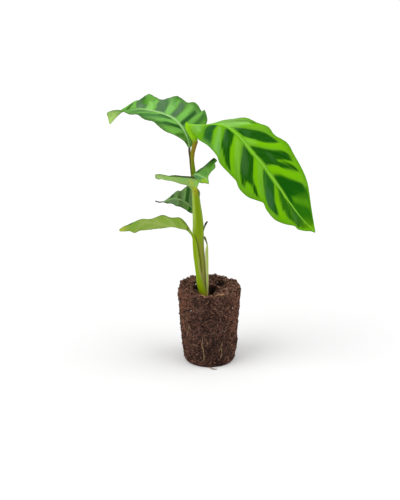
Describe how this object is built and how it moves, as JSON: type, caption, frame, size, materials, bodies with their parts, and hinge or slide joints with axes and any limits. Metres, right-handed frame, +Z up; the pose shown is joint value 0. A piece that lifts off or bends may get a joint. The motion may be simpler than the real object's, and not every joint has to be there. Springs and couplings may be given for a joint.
{
  "type": "zebra calathea",
  "caption": "Young zebra calathea with striped, wavy-edged leaves on a clump of sheathing stalks, rooted in a tapered round coir plug.",
  "frame": {"origin": "centre of the root plug's flat bottom", "axes": "+Z up; -Y faces the viewer, with the big striped leaf hanging towards +X"},
  "size_m": [0.1531, 0.0607, 0.2044],
  "materials": {
    "coir": "matte",
    "stalk": "satin",
    "dry_stalk": "matte",
    "brown_stalk": "satin",
    "purple_stalk": "satin",
    "striped_leaf": "satin",
    "dusky_leaf": "satin",
    "pale_leaf": "satin"
  },
  "bodies": {
    "root": {"root_plug": "coir", "main_stem": "stalk", "lower_sheath": "stalk", "dry_sheath": "dry_stalk", "right_petiole": "brown_stalk", "left_petiole": "purple_stalk", "middle_petiole": "stalk", "back_petiole": "stalk", "right_leaf": "striped_leaf", "left_leaf": "dusky_leaf", "middle_left_leaf": "pale_leaf", "middle_right_leaf": "dusky_leaf", "back_leaf": "dusky_leaf", "lower_leaf": "pale_leaf"}
  },
  "joints": []
}
